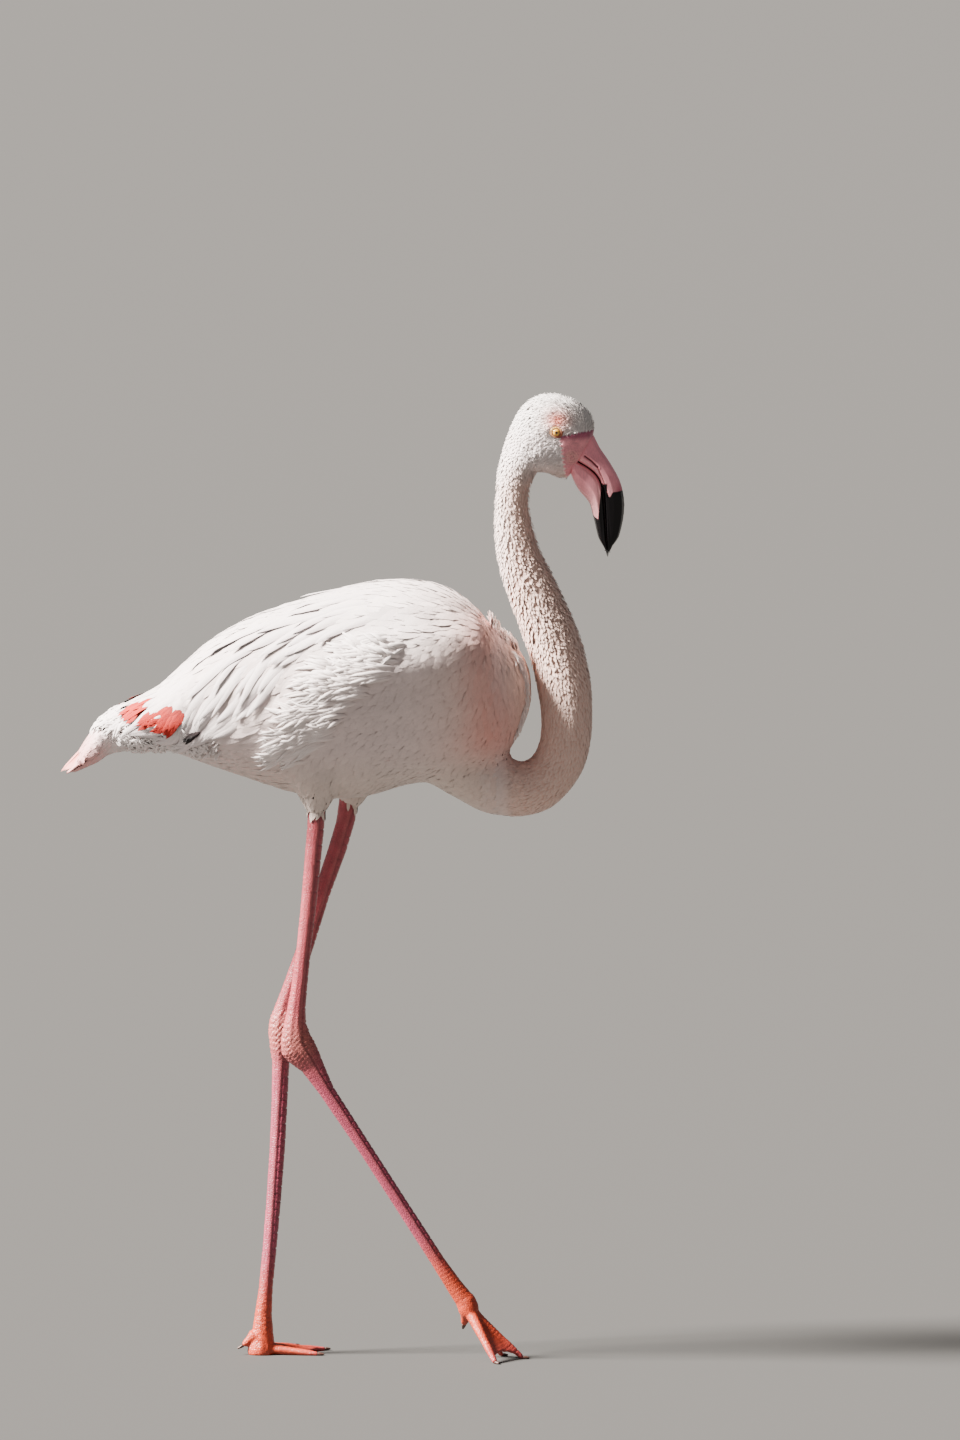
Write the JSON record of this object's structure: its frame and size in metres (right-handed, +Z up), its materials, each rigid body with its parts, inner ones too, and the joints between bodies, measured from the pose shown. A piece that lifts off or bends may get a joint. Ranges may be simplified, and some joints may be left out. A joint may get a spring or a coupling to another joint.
{
  "type": "greater flamingo",
  "caption": "Life-size standing greater flamingo in mid stride, neck in an S-bend, bent bill pointing down, as a still museum-style model.",
  "frame": {"origin": "on the floor, under the middle of the bird's bounding box", "axes": "+X the way the bird faces, +Y its left side, +Z up; the wings and trunk are symmetric about Y = 0"},
  "size_m": [0.6287, 0.1972, 1.085],
  "materials": {
    "plumage": "matt white contour feathers with a pale pink wash",
    "wing_plumage": "soft white scapulars and tertials, faintly pink at their roots",
    "tail_plumage": "soft pink tail feathers with salmon edges",
    "bare_leg": "rose-pink scaled skin, slightly glossy",
    "bare_foot": "orange-red scaled skin, wet and glossy",
    "bill": "pink horn with a glossy black tip",
    "eye": "wet glossy yellow iris with a black pupil",
    "claw": "dark satin horn"
  },
  "bodies": {
    "root": {"trunk": "plumage", "tail": "tail_plumage", "neck_base": "plumage", "neck_bend": "plumage", "neck_middle": "plumage", "neck_top": "plumage", "head": "plumage", "wing_left": "wing_plumage", "wing_right": "wing_plumage", "thigh_left": "plumage", "thigh_right": "plumage", "shank_left": "bare_leg", "shank_right": "bare_leg", "ankle_left": "bare_leg", "ankle_right": "bare_leg", "tarsus_left": "bare_leg", "tarsus_right": "bare_leg", "foot_left": "bare_foot", "foot_right": "bare_foot", "claw_left_inner": "claw", "claw_left_middle": "claw", "claw_left_outer": "claw", "claw_left_hind": "claw", "claw_right_inner": "claw", "claw_right_middle": "claw", "claw_right_outer": "claw", "claw_right_hind": "claw", "bill_upper": "bill", "bill_lower": "bill", "eye_left": "eye", "eye_right": "eye"}
  },
  "joints": []
}
